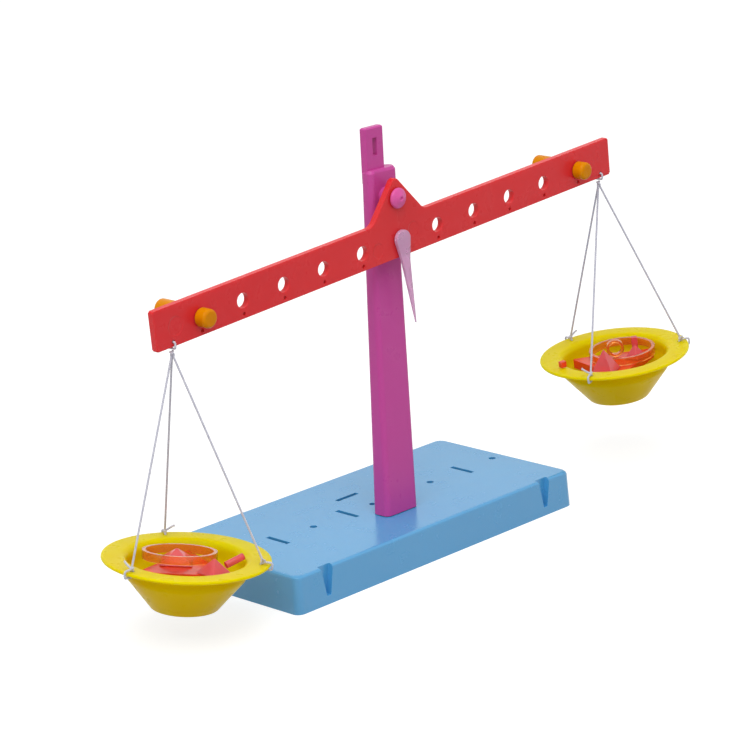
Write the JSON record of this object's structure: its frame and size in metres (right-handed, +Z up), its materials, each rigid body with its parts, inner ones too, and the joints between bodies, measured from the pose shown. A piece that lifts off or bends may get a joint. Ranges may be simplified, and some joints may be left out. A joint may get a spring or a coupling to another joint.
{
  "type": "balance scale",
  "caption": "Toy balance scale: red beam with a pointer, pinned to a magenta post on a blue base, with a yellow string-hung pan at each end.",
  "frame": {"origin": "on the table, under the middle of the whole object's outline", "axes": "+X along the beam and base, from the lower pan to the higher; +Z up; the beam hangs on the post's -Y side"},
  "size_m": [0.294, 0.084, 0.1616],
  "materials": {
    "base_blue": "moulded, satin gloss",
    "post_magenta": "moulded, satin gloss",
    "beam_red": "moulded, glossy, slightly see-through",
    "peg_orange": "moulded, glossy",
    "pointer_lilac": "moulded, milky and see-through",
    "pan_yellow": "moulded, glossy",
    "thread_white": "twisted thread",
    "weight_pink": "see-through, glossy",
    "weight_scarlet": "see-through, glossy",
    "weight_amber": "see-through, glossy"
  },
  "bodies": {
    "stand": {"base": "base_blue", "post": "post_magenta", "pivot_pin": "post_magenta"},
    "beam_assembly": {"beam": "beam_red", "pointer": "pointer_lilac", "left_peg_barrel": "peg_orange", "left_peg_cap": "peg_orange", "right_peg_barrel": "peg_orange", "right_peg_cap": "peg_orange"},
    "left_thread_loop": {"left_hanger": "thread_white"},
    "left_knot": {"left_apex_knot": "thread_white"},
    "left_hung_pan": {"left_string_1": "thread_white", "left_string_2": "thread_white", "left_string_3": "thread_white", "left_pan": "pan_yellow"},
    "left_tile": {"left_weight_tile": "weight_scarlet"},
    "left_peak": {"left_weight_peak": "weight_pink"},
    "left_prow": {"left_weight_prow": "weight_pink"},
    "left_ring": {"left_weight_ring": "weight_amber"},
    "left_rod": {"left_weight_rod": "weight_pink"},
    "right_thread_loop": {"right_hanger": "thread_white"},
    "right_knot": {"right_apex_knot": "thread_white"},
    "right_hung_pan": {"right_string_1": "thread_white", "right_string_2": "thread_white", "right_string_3": "thread_white", "right_pan": "pan_yellow"},
    "right_tile": {"right_weight_tile": "weight_scarlet"},
    "right_ring": {"right_weight_ring": "weight_amber"},
    "right_spire": {"right_weight_spire": "weight_pink"},
    "right_wedge": {"right_weight_wedge": "weight_pink"},
    "right_loop": {"right_weight_loop": "weight_amber"},
    "right_stub": {"right_weight_stub": "weight_pink"},
    "right_chip": {"right_weight_chip": "weight_scarlet"}
  },
  "joints": [
    {"name": "beam_tilt", "type": "hinge", "parent": "stand", "child": "beam_assembly", "pos_m": [-0.00406, -0.01217, 0.1358], "axis": [0, 1, 0], "range_deg": [-5.3, 14.2]},
    {"name": "left_level", "type": "hinge", "parent": "beam_assembly", "child": "left_thread_loop", "pos_m": [-0.11614, -0.01217, 0.10815], "axis": [0, 1, 0], "range_deg": [-14.4, 5.5]},
    {"name": "left_side_swing", "type": "hinge", "parent": "left_thread_loop", "child": "left_knot", "pos_m": [-0.11614, -0.01217, 0.10386], "axis": [0, 1, 0], "range_deg": [-8, 12]},
    {"name": "left_fore_swing", "type": "hinge", "parent": "left_knot", "child": "left_hung_pan", "pos_m": [-0.11614, -0.01217, 0.10386], "axis": [1, 0, 0], "range_deg": [-12, 12]},
    {"name": "left_tile_lift", "type": "slide", "parent": "left_hung_pan", "child": "left_tile", "axis": [0, 0, 1], "range_m": [0, 0.01]},
    {"name": "left_peak_lift", "type": "slide", "parent": "left_tile", "child": "left_peak", "axis": [0, 0, 1], "range_m": [0, 0.01]},
    {"name": "left_prow_lift", "type": "slide", "parent": "left_tile", "child": "left_prow", "axis": [0, 0, 1], "range_m": [0, 0.01]},
    {"name": "left_ring_lift", "type": "slide", "parent": "left_prow", "child": "left_ring", "axis": [0, 0, 1], "range_m": [0, 0.01]},
    {"name": "left_rod_lift", "type": "slide", "parent": "left_tile", "child": "left_rod", "axis": [0, 0, 1], "range_m": [0, 0.01]},
    {"name": "right_level", "type": "hinge", "parent": "beam_assembly", "child": "right_thread_loop", "pos_m": [0.11061, -0.01217, 0.12253], "axis": [0, 1, 0], "range_deg": [-14.4, 5.5]},
    {"name": "right_side_swing", "type": "hinge", "parent": "right_thread_loop", "child": "right_knot", "pos_m": [0.11061, -0.01217, 0.11824], "axis": [0, 1, 0], "range_deg": [-6.6, 13.4]},
    {"name": "right_fore_swing", "type": "hinge", "parent": "right_knot", "child": "right_hung_pan", "pos_m": [0.11061, -0.01217, 0.11824], "axis": [0.9956, 0, 0.0941], "range_deg": [-12, 12]},
    {"name": "right_tile_lift", "type": "slide", "parent": "right_hung_pan", "child": "right_tile", "axis": [0, 0, 1], "range_m": [0, 0.01]},
    {"name": "right_ring_lift", "type": "slide", "parent": "right_tile", "child": "right_ring", "axis": [0, 0, 1], "range_m": [0, 0.01]},
    {"name": "right_spire_lift", "type": "slide", "parent": "right_tile", "child": "right_spire", "axis": [0, 0, 1], "range_m": [0, 0.01]},
    {"name": "right_wedge_lift", "type": "slide", "parent": "right_tile", "child": "right_wedge", "axis": [0, 0, 1], "range_m": [0, 0.01]},
    {"name": "right_loop_lift", "type": "slide", "parent": "right_tile", "child": "right_loop", "axis": [0, 0, 1], "range_m": [0, 0.01]},
    {"name": "right_stub_lift", "type": "slide", "parent": "right_tile", "child": "right_stub", "axis": [0, 0, 1], "range_m": [0, 0.01]},
    {"name": "right_chip_lift", "type": "slide", "parent": "right_hung_pan", "child": "right_chip", "axis": [0, 0, 1], "range_m": [0, 0.01]}
  ],
  "couplings": [
    {"joint": "left_level", "follows": "beam_tilt", "ratio": -1},
    {"joint": "right_level", "follows": "beam_tilt", "ratio": -1}
  ]
}
